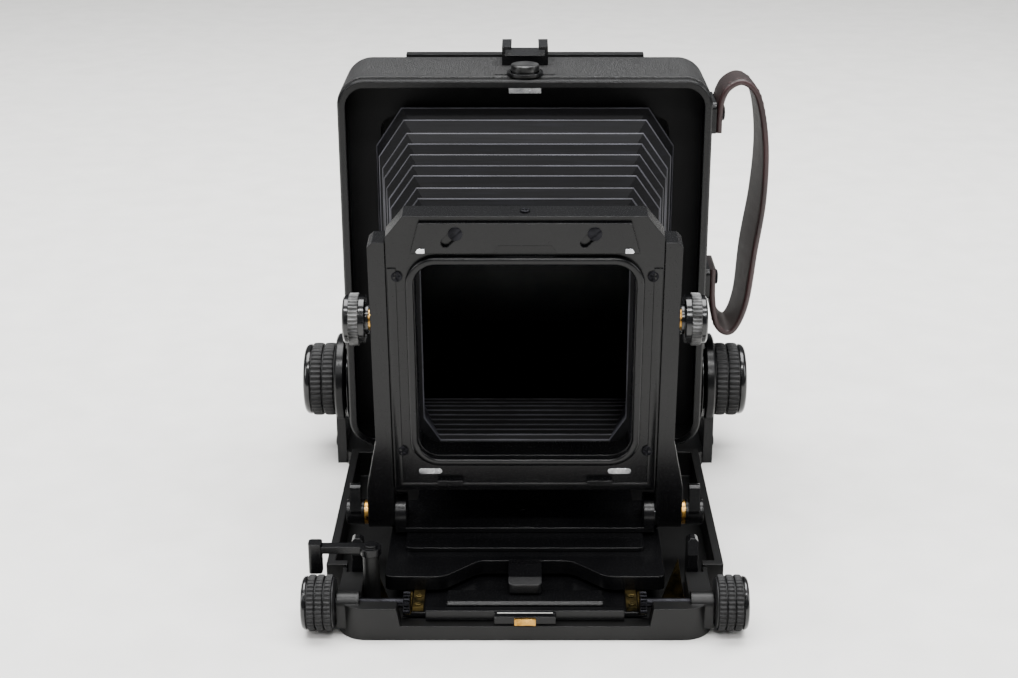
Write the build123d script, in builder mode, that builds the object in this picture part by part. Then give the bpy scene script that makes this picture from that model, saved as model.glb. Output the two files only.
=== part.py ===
from build123d import *
import math
import os

os.makedirs("parts", exist_ok=True)

# Metal folding field camera, opened for use.  Millimetres, +Z up, -Y towards the subject.
# The origin is the tripod socket in the base, at the surface that the camera stands on.

# ---- rear box ----
BOX_W = 168.0
BOX_H = 178.0
BOX_D = 50.0
BOX_LIFT = 12.5  # underside of the box above the standing surface
BOX_R = 12.5
BOX_WALL = 2.5
RIM_DEPTH = 2.2
LEATHER_T = 0.6

# ---- base and rear tilt ----
BASE_T = 7.0
ARM_T = 4.6
ARM_GAP = 2.6  # between the box side and an arm
ARM_R = 22.5
TILT_AXIS_Z = 37.0
STUD_R = 4.0
KNOB_R = 17.8
KNOB_L = 15.5

# ---- bed ----
BED_W = 164.0
BED_NOSE_W = BED_W - 14
BED_REAR_Y = -35.5
BED_STEP_Y = -149.0
BED_FRONT_Y = -183.0
BED_FLOOR = 3.0
WING_H = 15.5
LIP_H = 14.0
LIP_T = 6.5
BED_WALL = 3.5
NOTCH_W = 99.0
NOTCH_Z = 6.3
HINGE_Y = -29.5
HINGE_Z = 6.2
HINGE_R = 5.2
PIN_R = 2.0

# ---- focusing ----
RAIL_W = 97.6
RAIL_Z = 6.6
RAIL_T = 2.0
RAIL_REAR_Y = -60.0
RAIL_FRONT_Y = -176.0
MODULE = 0.5
PINION_TEETH = 16
RACK_W = 3.0
FOCUS_AXIS_Y = -175.0
FOCUS_AXIS_Z = 12.5
FOCUS_KNOB_R = 11.3
FOCUS_KNOB_L = 13.0

# ---- carriage and swing ----
CAR_W = 114.0
CAR_REAR_Y = -92.0
CAR_FRONT_Y = -161.0
CAR_ARCH = 13.5
CAR_Z = 10.4
CAR_T = 6.1
SHIFT_W = 100.0
SHIFT_T = 1.7
YOKE_T = 2.2

# ---- front standard, leaning forward at rest ----
LEAN = 5.8
PIVOT_Y = -118.0
PIVOT_Z = 24.0
UPRIGHT_X = 55.2  # inner face
UPRIGHT_T = 6.8
UPRIGHT_D = 12.0
UPRIGHT_H = 128.0
FOOT_R = 6.4
FOOT_T = 11.3
FRAME_W = 109.8
FRAME_LOW = 14.5
FRAME_TOP = 139.0
FRAME_D = 11.0
BOARD_OPEN = 88.0
BOARD_H = 75.5  # height of the opening's centre along the standard
RING_W = 95.0
RISE_H = 92.0
RISE_KNOB_R = 10.7
RISE_KNOB_L = 9.0

# ---- bellows and back ----
BELLOWS_REAR_Y = -8.0
BELLOWS_REAR_W = BOX_W - 30
BELLOWS_REAR_H = BOX_H - 28
BELLOWS_FRONT_W = 98.0
BELLOWS_FRONT_H = 106.0
BELLOWS_WALL = 2.4
BACK_T = 6.0
GLASS_W = 120.0
GLASS_H = 94.0

# ---- release button ----
BUTTON_Y = -16.0
BUTTON_R = 6.4
BUTTON_FOOT_R = 5.8
BUTTON_TRAVEL = 2.0

# ---- fits ----
SHAFT_GAP = 0.05
SLIDE_GAP = 0.3
FACE_GAP = 0.2

BOX_TOP = BOX_LIFT + BOX_H
BOX_MID_Z = BOX_LIFT + BOX_H / 2
RIM_Y = -BOX_D / 2
BACK_Y = BOX_D / 2
DECK_Z = BOX_TOP + LEATHER_T
ARM_X = BOX_W / 2 + ARM_GAP
CAR_TOP = CAR_Z + CAR_T
SHIFT_Z = CAR_TOP + FACE_GAP
YOKE_Z = SHIFT_Z + SHIFT_T + FACE_GAP
PINION_R = MODULE * PINION_TEETH / 2
RACK_X = RAIL_W / 2 - FACE_GAP - RACK_W
FACE_N = FRAME_D / 2  # front face of the lens frame, along the standard's normal


def standard(n, x=0.0, h=0.0):
    """Plane of the leaning front standard: n towards the subject, h up along the standard."""
    a = math.radians(LEAN)
    y = PIVOT_Y - n * math.cos(a) - h * math.sin(a)
    z = PIVOT_Z - n * math.sin(a) + h * math.cos(a)
    return Plane(origin=(x, y, z), x_dir=(1, 0, 0), z_dir=(0, -math.cos(a), -math.sin(a)))


def front(y, x=0.0, z=0.0):
    """Upright plane facing the subject, with its sketch's X to the right and Y up."""
    return Plane(origin=(x, y, z), x_dir=(1, 0, 0), z_dir=(0, -1, 0))


def side(x, y=0.0, z=0.0):
    """Plane across X, with its sketch's X towards +Y and Y up."""
    return Plane(origin=(x, y, z), x_dir=(0, 1, 0), z_dir=(1, 0, 0))


def save(piece, name):
    """Labels a finished piece and writes its file."""
    piece.part.label = name
    export_step(piece.part, "parts/" + name + ".step")


# =====================================================================
# Base under the box
# =====================================================================
with BuildPart() as base_plate:
    with BuildSketch(Plane.XY):
        with Locations((0, 1)):
            RectangleRounded(2 * ARM_X, BOX_D - 4, 5)
    extrude(amount=BASE_T)
    for sx in (-1, 1):
        with BuildSketch(side(sx * 56 - 6)):
            with Locations((HINGE_Y, HINGE_Z)):
                Circle(HINGE_R)
            with Locations(((HINGE_Y + RIM_Y + 4) / 2 + 1, HINGE_Z / 2 + 1.6)):
                Rectangle(RIM_Y + 6 - HINGE_Y, HINGE_Z)
        extrude(amount=12)
    with BuildSketch(side(-ARM_X)):
        with Locations((HINGE_Y, HINGE_Z)):
            Circle(PIN_R)
    extrude(amount=2 * ARM_X, mode=Mode.SUBTRACT)
    with BuildSketch(Plane.XY):
        Circle(8)
    extrude(amount=BASE_T, mode=Mode.SUBTRACT)
    fillet(base_plate.faces().sort_by(Axis.Z)[-1].edges().filter_by(Axis.X).sort_by(Axis.Y)[-1:], 2)
save(base_plate, "base_plate")

with BuildPart() as tripod_bush:
    with BuildSketch(Plane.XY):
        Circle(8)
        Circle(3.175, mode=Mode.SUBTRACT)
    extrude(amount=BASE_T)
save(tripod_bush, "tripod_bush")

with BuildPart() as side_arms:
    for sx in (-1, 1):
        with BuildSketch(side(sx * ARM_X)):
            with Locations((0, TILT_AXIS_Z)):
                Circle(ARM_R)
            with Locations((0, TILT_AXIS_Z / 2)):
                Rectangle(1.6 * ARM_R, TILT_AXIS_Z)
            with Locations((0, TILT_AXIS_Z)):
                Circle(STUD_R + SHAFT_GAP, mode=Mode.SUBTRACT)
        extrude(amount=sx * ARM_T)
    rims = side_arms.edges().filter_by(GeomType.CIRCLE).filter_by(lambda e: e.radius > ARM_R - 1)
    chamfer(rims, 0.8)
save(side_arms, "side_arms")

with BuildPart() as arm_screws:
    for sx in (-1, 1):
        for y in (-11, 11):
            with BuildSketch(side(sx * (ARM_X + ARM_T), y, 9)):
                Circle(2.6)
            extrude(amount=sx * 1.1)
save(arm_screws, "arm_screws")

with BuildPart() as hinge_pins:
    for sx in (-1, 1):
        with BuildSketch(side(sx * 50, HINGE_Y, HINGE_Z)):
            Circle(PIN_R)
        extrude(amount=sx * 25)
save(hinge_pins, "hinge_pins")

# =====================================================================
# Bed
# =====================================================================
NOSE_L = BED_STEP_Y - BED_FRONT_Y
WING_L = BED_REAR_Y - BED_STEP_Y
BOSS_R = 4.6
with BuildPart() as bed_tray:
    with BuildSketch(Plane.XY):
        with Locations((0, BED_STEP_Y + WING_L / 2)):
            Rectangle(BED_W, WING_L)
    extrude(amount=WING_H)
    with BuildSketch(Plane.XY):
        with Locations((0, BED_STEP_Y - NOSE_L / 2)):
            Rectangle(BED_NOSE_W, NOSE_L)
        fillet(vertices().group_by(Axis.Y)[0], 12)
    extrude(amount=LIP_H)
    for sx in (-1, 1):
        with BuildSketch(side(sx * 66, FOCUS_AXIS_Y, FOCUS_AXIS_Z)):
            Circle(BOSS_R)
            with Locations((0, -BOSS_R)):
                Rectangle(2 * BOSS_R, 2 * BOSS_R)
        extrude(amount=sx * (BED_NOSE_W / 2 - 66))
    with BuildSketch(Plane.XY.offset(BED_FLOOR)):
        with Locations((0, BED_STEP_Y + WING_L / 2)):
            Rectangle(BED_W - 2 * BED_WALL, WING_L - 2 * BED_WALL)
    extrude(amount=WING_H, mode=Mode.SUBTRACT)
    with BuildSketch(Plane.XY.offset(BED_FLOOR)):
        with Locations((0, (BED_STEP_Y + BED_WALL + 1 + BED_FRONT_Y + LIP_T) / 2)):
            Rectangle(131.5, BED_STEP_Y + BED_WALL + 1 - BED_FRONT_Y - LIP_T)
    extrude(amount=WING_H + 8, mode=Mode.SUBTRACT)
    with BuildSketch(Plane.XY.offset(BED_FLOOR)):
        with Locations((0, BED_STEP_Y + 1)):
            Rectangle(146.6, 9)
    extrude(amount=WING_H, mode=Mode.SUBTRACT)
    with BuildSketch(front(BED_FRONT_Y + LIP_T + 1)):
        with BuildLine():
            Polyline(
                (-NOTCH_W / 2, NOTCH_Z),
                (NOTCH_W / 2, NOTCH_Z),
                (NOTCH_W / 2 + 3, WING_H + 8),
                (-NOTCH_W / 2 - 3, WING_H + 8),
                close=True,
            )
        make_face()
    extrude(amount=LIP_T + 2, mode=Mode.SUBTRACT)
    for sx in (-1, 1):
        with BuildSketch(side(sx * 62.4, HINGE_Y, HINGE_Z)):
            Circle(HINGE_R)
            with Locations((-HINGE_R / 2 - 1, -1)):
                Rectangle(HINGE_R + 2, 2 * HINGE_R - 2)
        extrude(amount=sx * 11)
    with BuildSketch(side(-BED_W / 2, FOCUS_AXIS_Y, FOCUS_AXIS_Z)):
        Circle(PIN_R + SHAFT_GAP)
    extrude(amount=BED_W, mode=Mode.SUBTRACT)
    with BuildSketch(side(-74, HINGE_Y, HINGE_Z)):
        Circle(PIN_R)
    extrude(amount=148, mode=Mode.SUBTRACT)
    with BuildSketch(Plane.XY.offset(BED_FLOOR)):
        with Locations((-62, -163)):
            Circle(3.4)
    extrude(amount=25)
save(bed_tray, "bed_tray")

with BuildPart() as brass_gussets:
    for sx in (-1, 1):
        with BuildSketch(front(-154)):
            with BuildLine():
                Polyline((sx * 56.5, BED_FLOOR), (sx * 65.4, BED_FLOOR), (sx * 62.5, 21), close=True)
            make_face()
        extrude(amount=2)
save(brass_gussets, "brass_gussets")


def bed_lock(sx):
    """One bevelled paddle that frees the bed when it is pressed outwards."""
    with BuildPart() as paddle:
        with BuildSketch(side(sx * 66.8)):
            with BuildLine():
                Polyline((-151, 3.9), (-141, 3.9), (-141, 22), (-144, 27), (-148, 27), (-151, 21), close=True)
            make_face()
        extrude(amount=sx * 4.4)
        chamfer(paddle.edges().filter_by(Axis.Y).sort_by(Axis.Z)[-2:], 1.2)
    return paddle


bed_lock_left = bed_lock(-1)
save(bed_lock_left, "bed_lock_left")
bed_lock_right = bed_lock(1)
save(bed_lock_right, "bed_lock_right")

LEVER_X = -62.0
LEVER_Y = -163.0
with BuildPart() as focus_lock_lever:
    with BuildSketch(Plane.XY.offset(28.2)):
        with Locations((LEVER_X, LEVER_Y)):
            Circle(4.2)
        with Locations((LEVER_X - 11, LEVER_Y + 1.5)):
            Rectangle(24, 4)
    extrude(amount=3)
    with BuildSketch(Plane.XY.offset(19.5)):
        with Locations((LEVER_X - 22.5, LEVER_Y + 1.5)):
            RectangleRounded(5.4, 5.4, 1.2)
    extrude(amount=13)
    with BuildSketch(Plane.XY.offset(28.2)):
        with Locations((LEVER_X, LEVER_Y)):
            Circle(2.6)
    extrude(amount=4.2)
save(focus_lock_lever, "focus_lock_lever")

# =====================================================================
# Focusing rail
# =====================================================================
RACK_FLOOR = RAIL_Z + 1.0
RAIL_TOP = RAIL_Z + RAIL_T
RAIL_L = RAIL_REAR_Y - RAIL_FRONT_Y
RAIL_MID_Y = (RAIL_REAR_Y + RAIL_FRONT_Y) / 2
with BuildPart() as focus_rail:
    with BuildSketch(Plane.XY.offset(RAIL_Z)):
        with Locations((0, RAIL_MID_Y)):
            Rectangle(RAIL_W, RAIL_L)
    extrude(amount=RAIL_T)
    with BuildSketch(Plane.XY.offset(RACK_FLOOR)):
        for sx in (-1, 1):
            with Locations((sx * (RACK_X + RACK_W / 2 + 0.2), RAIL_MID_Y)):
                Rectangle(RACK_W + 0.8, RAIL_L)
    extrude(amount=RAIL_T, mode=Mode.SUBTRACT)
    with BuildSketch(Plane.XY.offset(BED_FLOOR + FACE_GAP)):
        for sx in (-1, 1):
            with Locations((sx * 27, -101)):
                Rectangle(10, 66)
    extrude(amount=RAIL_Z - BED_FLOOR - FACE_GAP)
save(focus_rail, "focus_rail")

PITCH = math.pi * MODULE
PITCH_Z = FOCUS_AXIS_Z - PINION_R
TOOTH_HALF = PITCH / 4 - 0.09
RACK_TEETH = 30
SLOPE = math.tan(math.radians(20))
ROOT_DEPTH = 0.62
TIP_DEPTH = 0.42
ROOT_Z = PITCH_Z - ROOT_DEPTH
TIP_Z = PITCH_Z + TIP_DEPTH
with BuildPart() as focus_racks:
    for sx in (-1, 1):
        with BuildSketch(side(sx * RACK_X)):
            points = [(FOCUS_AXIS_Y + RACK_TEETH * PITCH, RACK_FLOOR), (FOCUS_AXIS_Y - PITCH / 2, RACK_FLOOR)]
            points.append((FOCUS_AXIS_Y - PITCH / 2, ROOT_Z))
            for i in range(RACK_TEETH):
                mid = FOCUS_AXIS_Y + (i + 0.5) * PITCH
                low = TOOTH_HALF + (PITCH_Z - ROOT_Z) * SLOPE
                high = TOOTH_HALF - (TIP_Z - PITCH_Z) * SLOPE
                points += [(mid - low, ROOT_Z), (mid - high, TIP_Z), (mid + high, TIP_Z), (mid + low, ROOT_Z)]
            points.append((FOCUS_AXIS_Y + RACK_TEETH * PITCH, ROOT_Z))
            with BuildLine():
                Polyline(*points, close=True)
            make_face()
        extrude(amount=sx * RACK_W)
save(focus_racks, "focus_racks")

STRIP_X = 40.6
STRIP_W = 4.4
STRIP_T = CAR_Z - RAIL_TOP
with BuildPart() as guide_strips:
    for sx in (-1, 1):
        with BuildSketch(Plane.XY.offset(RAIL_TOP)):
            with Locations((sx * (STRIP_X + STRIP_W / 2), -128)):
                Rectangle(STRIP_W, 94)
        extrude(amount=STRIP_T)
save(guide_strips, "guide_strips")

with BuildPart() as rail_front_plate:
    with BuildSketch(Plane.XY.offset(RAIL_TOP)):
        with Locations((0, -170.6)):
            Rectangle(62, 10)
    extrude(amount=4.2)
    chamfer(rail_front_plate.faces().sort_by(Axis.Z)[-1].edges().sort_by(Axis.Y)[:1], 1)
save(rail_front_plate, "rail_front_plate")

with BuildPart() as rail_cross_bar:
    with BuildSketch(Plane.XY.offset(RAIL_Z)):
        with Locations((0, RAIL_FRONT_Y - 1.6)):
            Rectangle(79, 3.2)
    extrude(amount=4.6)
    with BuildSketch(Plane.XY.offset(RAIL_Z)):
        with Locations((0, RAIL_FRONT_Y - 4)):
            Rectangle(24.4, 4)
    extrude(amount=3.4)
save(rail_cross_bar, "rail_cross_bar")

with BuildPart() as rail_stop:
    with BuildSketch(Plane.XY.offset(RAIL_Z + 0.3)):
        with Locations((0, RAIL_FRONT_Y - 6.7)):
            Rectangle(8.4, 1.4)
    extrude(amount=2.8)
save(rail_stop, "rail_stop")

with BuildPart() as rail_screws:
    with BuildSketch(Plane.XY.offset(RAIL_TOP + STRIP_T)):
        for sx in (-1, 1):
            for y in (-166, -172.5):
                with Locations((sx * (STRIP_X + STRIP_W / 2), y)):
                    Circle(1.5)
    extrude(amount=0.5)
save(rail_screws, "rail_screws")

# =====================================================================
# Carriage, shift and swing
# =====================================================================
with BuildPart() as carriage:
    with BuildSketch(Plane.XY.offset(CAR_Z)):
        with BuildLine():
            Polyline(
                (-CAR_W / 2, CAR_REAR_Y),
                (-CAR_W / 2, CAR_FRONT_Y),
                (-33, CAR_FRONT_Y),
                (-19, CAR_FRONT_Y + CAR_ARCH),
                (19, CAR_FRONT_Y + CAR_ARCH),
                (33, CAR_FRONT_Y),
                (CAR_W / 2, CAR_FRONT_Y),
                (CAR_W / 2, CAR_REAR_Y),
                close=True,
            )
        make_face()
        fillet(vertices().filter_by(lambda v: abs(v.X) < 40), 9)
    extrude(amount=CAR_T)
    fillet(carriage.edges().filter_by(Axis.Z).filter_by(lambda e: abs(e.center().X) > 50), 3)
save(carriage, "carriage")

TONGUE_Y = CAR_FRONT_Y + CAR_ARCH - FACE_GAP
with BuildPart() as carriage_tongue:
    with BuildSketch(side(-6.7)):
        with BuildLine():
            Polyline(
                (TONGUE_Y, 13.2),
                (TONGUE_Y, 17.5),
                (TONGUE_Y - 8, 19.5),
                (TONGUE_Y - 18, 19),
                (TONGUE_Y - 22, 17.4),
                (TONGUE_Y - 22, 13.6),
                (TONGUE_Y - 12, 13.6),
                close=True,
            )
        make_face()
    extrude(amount=13.4)
    fillet(carriage_tongue.edges().filter_by(Axis.Z), 2)
save(carriage_tongue, "carriage_tongue")

with BuildPart() as shift_plate:
    with BuildSketch(Plane.XY.offset(SHIFT_Z)):
        with Locations((0, PIVOT_Y)):
            RectangleRounded(SHIFT_W, 44, 3)
    extrude(amount=SHIFT_T)
    with BuildSketch(Plane.XY.offset(SHIFT_Z + SHIFT_T)):
        with Locations((0, PIVOT_Y)):
            Circle(8)
    extrude(amount=FACE_GAP + YOKE_T)
save(shift_plate, "shift_plate")

EAR_T = 4.5
EAR_X = UPRIGHT_X - SLIDE_GAP - EAR_T
EAR_R = 8.6
with BuildPart() as swing_yoke:
    with BuildSketch(Plane.XY.offset(YOKE_Z)):
        with Locations((0, PIVOT_Y)):
            Rectangle(2 * EAR_X + 2 * EAR_T, 2 * EAR_R)
            Circle(8 + SHAFT_GAP, mode=Mode.SUBTRACT)
    extrude(amount=YOKE_T)
    for sx in (-1, 1):
        with BuildSketch(side(sx * EAR_X)):
            with Locations((PIVOT_Y, PIVOT_Z)):
                Circle(EAR_R)
            with Locations((PIVOT_Y, (YOKE_Z + PIVOT_Z) / 2)):
                Rectangle(2 * EAR_R, PIVOT_Z - YOKE_Z)
            with Locations((PIVOT_Y, YOKE_Z - 10)):
                Rectangle(3 * EAR_R, 20, mode=Mode.SUBTRACT)
            with Locations((PIVOT_Y, PIVOT_Z)):
                Circle(2.5, mode=Mode.SUBTRACT)
        extrude(amount=sx * EAR_T)
save(swing_yoke, "swing_yoke")

WASHER_T = 1.8
FOOT_X = UPRIGHT_X + FOOT_T
LEVER_IN = FOOT_X + WASHER_T + FACE_GAP
with BuildPart() as tilt_pins:
    for sx in (-1, 1):
        with BuildSketch(side(sx * EAR_X, PIVOT_Y, PIVOT_Z)):
            Circle(2.5)
        extrude(amount=sx * (LEVER_IN + 6 - EAR_X))
save(tilt_pins, "tilt_pins")


def tilt_lever(sx):
    """Lock lever on the end of a tilt pin: a round hub with one short flat wing."""
    with BuildPart() as lever:
        with BuildSketch(side(sx * LEVER_IN, PIVOT_Y, PIVOT_Z)):
            Circle(5.4)
        extrude(amount=sx * 7.4)
        with BuildSketch(side(sx * (LEVER_IN + 1.2), PIVOT_Y, PIVOT_Z)):
            with Locations(Location((-1.5, 7, 0), (0, 0, -15))):
                RectangleRounded(6.4, 13, 2)
        extrude(amount=sx * 4.6)
        with BuildSketch(side(sx * LEVER_IN, PIVOT_Y, PIVOT_Z)):
            Circle(2.5 + SHAFT_GAP)
        extrude(amount=sx * (6 + SLIDE_GAP), mode=Mode.SUBTRACT)
    return lever


tilt_lever_left = tilt_lever(-1)
save(tilt_lever_left, "tilt_lever_left")
tilt_lever_right = tilt_lever(1)
save(tilt_lever_right, "tilt_lever_right")

# =====================================================================
# Front standard
# =====================================================================
with BuildPart() as uprights:
    for sx in (-1, 1):
        with BuildSketch(standard(-UPRIGHT_D / 2)):
            with BuildLine():
                Polyline(
                    (sx * UPRIGHT_X, -FOOT_R),
                    (sx * FOOT_X, -FOOT_R),
                    (sx * FOOT_X, 15),
                    (sx * (UPRIGHT_X + UPRIGHT_T), 38),
                    (sx * (UPRIGHT_X + UPRIGHT_T), UPRIGHT_H - 2),
                    (sx * (UPRIGHT_X + UPRIGHT_T - 2), UPRIGHT_H),
                    (sx * UPRIGHT_X, UPRIGHT_H),
                    close=True,
                )
            make_face()
        extrude(amount=UPRIGHT_D)
    feet = uprights.edges().filter_by(Axis.X).filter_by(lambda e: e.center().Z < PIVOT_Z)
    fillet(feet, UPRIGHT_D / 2 - 0.4)
    with BuildSketch(standard(-UPRIGHT_D / 2)):
        with Locations((0, 11.9)):
            Rectangle(2 * UPRIGHT_X + 2, 3.4)
    extrude(amount=3.6)
    with BuildSketch(side(-FOOT_X - 1, PIVOT_Y, PIVOT_Z)):
        Circle(2.5 + SHAFT_GAP)
    extrude(amount=2 * FOOT_X + 2, mode=Mode.SUBTRACT)
    rise_at = standard(0, 0, RISE_H).origin
    with BuildSketch(side(-FOOT_X - 1, rise_at.Y, rise_at.Z)):
        Circle(2 + SHAFT_GAP)
    extrude(amount=2 * FOOT_X + 2, mode=Mode.SUBTRACT)
save(uprights, "uprights")

RISE_X = UPRIGHT_X + UPRIGHT_T + WASHER_T + FACE_GAP
with BuildPart() as brass_washers:
    for sx in (-1, 1):
        with BuildSketch(side(sx * FOOT_X, PIVOT_Y, PIVOT_Z)):
            Circle(5.2)
            Circle(2.5 + SHAFT_GAP, mode=Mode.SUBTRACT)
        extrude(amount=sx * WASHER_T)
        with BuildSketch(side(sx * (UPRIGHT_X + UPRIGHT_T), rise_at.Y, rise_at.Z)):
            Circle(4.6)
            Circle(2 + SHAFT_GAP, mode=Mode.SUBTRACT)
        extrude(amount=sx * WASHER_T)
save(brass_washers, "brass_washers")


def rise_knob(sx):
    """Clamping knob of the rising front, with its shaft."""
    with BuildPart() as knob:
        with BuildSketch(side(sx * RISE_X, rise_at.Y, rise_at.Z)):
            Circle(RISE_KNOB_R)
        extrude(amount=sx * RISE_KNOB_L)
        chamfer(knob.edges().filter_by(GeomType.CIRCLE), 0.9)
        with BuildSketch(side(sx * (UPRIGHT_X + 0.4), rise_at.Y, rise_at.Z)):
            Circle(2)
        extrude(amount=sx * (RISE_X - UPRIGHT_X))
    return knob


rise_knob_left = rise_knob(-1)
save(rise_knob_left, "rise_knob_left")
rise_knob_right = rise_knob(1)
save(rise_knob_right, "rise_knob_right")

with BuildPart() as lens_frame:
    with BuildSketch(standard(-FRAME_D / 2)):
        with BuildLine():
            Polyline(
                (-FRAME_W / 2, FRAME_LOW),
                (FRAME_W / 2, FRAME_LOW),
                (FRAME_W / 2, FRAME_TOP - 9),
                (FRAME_W / 2 - 7.2, FRAME_TOP),
                (-FRAME_W / 2 + 7.2, FRAME_TOP),
                (-FRAME_W / 2, FRAME_TOP - 9),
                close=True,
            )
        make_face()
        with Locations((0, BOARD_H)):
            RectangleRounded(BOARD_OPEN, BOARD_OPEN, 9, mode=Mode.SUBTRACT)
    extrude(amount=FRAME_D)
save(lens_frame, "lens_frame")

with BuildPart() as seal_ring:
    with BuildSketch(standard(FACE_N)):
        with Locations((0, BOARD_H - 0.6)):
            RectangleRounded(RING_W, RING_W, 12)
        with Locations((0, BOARD_H)):
            RectangleRounded(BOARD_OPEN + 1, BOARD_OPEN + 1, 9.5, mode=Mode.SUBTRACT)
    extrude(amount=2.6)
save(seal_ring, "seal_ring")

with BuildPart() as frame_screws:
    with BuildSketch(standard(FACE_N)):
        for sx in (-1, 1):
            for h in (33.8, 113.5):
                with Locations((sx * 50.7, h)):
                    Circle(2.3)
    extrude(amount=0.8)
save(frame_screws, "frame_screws")

with BuildPart() as board_lips:
    with BuildSketch(standard(FACE_N)):
        for sx in (-1, 1):
            with Locations((sx * 31.2, 19.4)):
                Rectangle(10.6, 2.6)
    extrude(amount=3)
save(board_lips, "board_lips")

with BuildPart() as slot_pads:
    with BuildSketch(standard(FACE_N)):
        for sx in (-1, 1):
            with Locations((sx * 39.5, 23.9)):
                SlotOverall(9.7, 2.7)
    extrude(amount=0.4)
save(slot_pads, "slot_pads")

SLIDE_LOW = 124.0
SLIDE_TOP = 136.8
SLIDE_T = 1.8
SLIDE_SCREW_X = 27.2
SLIDE_SCREW_H = 132.4
with BuildPart() as board_lock_slide:
    with BuildSketch(standard(FACE_N + 0.1)):
        with BuildLine():
            Polyline(
                (-45, SLIDE_LOW),
                (-12.5, SLIDE_LOW),
                (-10.5, SLIDE_LOW + 3.4),
                (10.5, SLIDE_LOW + 3.4),
                (12.5, SLIDE_LOW),
                (45, SLIDE_LOW),
                (41.5, SLIDE_TOP),
                (-41.5, SLIDE_TOP),
                close=True,
            )
        make_face()
        for sx in (-1, 1):
            with Locations(Location((sx * SLIDE_SCREW_X - 1.8, SLIDE_SCREW_H - 1.8, 0), (0, 0, 45))):
                SlotOverall(9.6, 3.8, mode=Mode.SUBTRACT)
    extrude(amount=SLIDE_T)
save(board_lock_slide, "board_lock_slide")

with BuildPart() as slide_screws:
    with BuildSketch(standard(FACE_N)):
        for sx in (-1, 1):
            with Locations((sx * SLIDE_SCREW_X, SLIDE_SCREW_H)):
                Circle(1.6)
    extrude(amount=SLIDE_T + 0.5)
    with BuildSketch(standard(FACE_N + SLIDE_T + 0.4)):
        for sx in (-1, 1):
            with Locations((sx * SLIDE_SCREW_X, SLIDE_SCREW_H)):
                Circle(2.7)
    extrude(amount=1.2)
save(slide_screws, "slide_screws")

# =====================================================================
# Bellows
# =====================================================================
BELLOWS_MID_Z = BOX_MID_Z - 3.5


def tapered(grow):
    """Four-sided taper from the box to the lens frame, larger all round by grow."""
    with BuildPart() as taper:
        with BuildSketch(front(BELLOWS_REAR_Y, 0, BELLOWS_MID_Z)):
            RectangleRounded(BELLOWS_REAR_W + 2 * grow, BELLOWS_REAR_H + 2 * grow, 8)
        with BuildSketch(standard(-FACE_N, 0, BOARD_H)):
            RectangleRounded(BELLOWS_FRONT_W + 2 * grow, BELLOWS_FRONT_H + 2 * grow, 8)
        loft()
    return taper.part


with BuildPart() as bellows:
    add(tapered(0))
    add(tapered(-BELLOWS_WALL), mode=Mode.SUBTRACT)
save(bellows, "bellows")

with BuildPart() as bellows_rear_frame:
    with BuildSketch(front(BELLOWS_REAR_Y + 3, 0, BOX_MID_Z)):
        RectangleRounded(BOX_W - 2 * BOX_WALL, BOX_H - 2 * BOX_WALL, BOX_R - BOX_WALL)
        with Locations((0, BELLOWS_MID_Z - BOX_MID_Z)):
            RectangleRounded(BELLOWS_REAR_W - 6, BELLOWS_REAR_H - 6, 6, mode=Mode.SUBTRACT)
    extrude(amount=3)
save(bellows_rear_frame, "bellows_rear_frame")

# =====================================================================
# Rear box
# =====================================================================
with BuildPart() as box_shell:
    with BuildSketch(front(BACK_Y, 0, BOX_MID_Z)):
        RectangleRounded(BOX_W, BOX_H, BOX_R)
        RectangleRounded(BOX_W - 2 * BOX_WALL, BOX_H - 2 * BOX_WALL, BOX_R - BOX_WALL, mode=Mode.SUBTRACT)
    extrude(amount=BOX_D - RIM_DEPTH)
    with BuildSketch(front(BACK_Y, 0, BOX_MID_Z)):
        RectangleRounded(BOX_W - BOX_WALL, BOX_H - BOX_WALL, BOX_R - BOX_WALL / 2)
        RectangleRounded(136, 136, 6, mode=Mode.SUBTRACT)
    extrude(amount=3)
    with BuildSketch(Plane.XY.offset(BOX_TOP)):
        with Locations((0, BUTTON_Y)):
            Circle(BUTTON_FOOT_R + SLIDE_GAP)
    extrude(amount=-BOX_WALL, mode=Mode.SUBTRACT)
save(box_shell, "box_shell")

with BuildPart() as front_rim:
    with BuildSketch(front(RIM_Y + RIM_DEPTH, 0, BOX_MID_Z)):
        RectangleRounded(BOX_W, BOX_H, BOX_R)
        RectangleRounded(BOX_W - 7, BOX_H - 7, BOX_R - 3.5, mode=Mode.SUBTRACT)
    extrude(amount=RIM_DEPTH)
    chamfer(front_rim.faces().sort_by(Axis.Y)[0].outer_wire().edges(), 0.8)
save(front_rim, "front_rim")

with BuildPart() as leather_panels:
    with BuildSketch(Plane.XY.offset(BOX_TOP)):
        with Locations((0, 1)):
            Rectangle(BOX_W - 2 * BOX_R - 1, BOX_D - 8)
    extrude(amount=LEATHER_T)
    for sx in (-1, 1):
        with BuildSketch(side(sx * BOX_W / 2, 1, 119)):
            Rectangle(BOX_D - 8, 114)
        extrude(amount=sx * LEATHER_T)
    with BuildSketch(Plane.XY.offset(BOX_TOP)):
        with Locations((0, BUTTON_Y)):
            Circle(BUTTON_FOOT_R + SLIDE_GAP)
    extrude(amount=LEATHER_T, mode=Mode.SUBTRACT)
save(leather_panels, "leather_panels")

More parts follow.
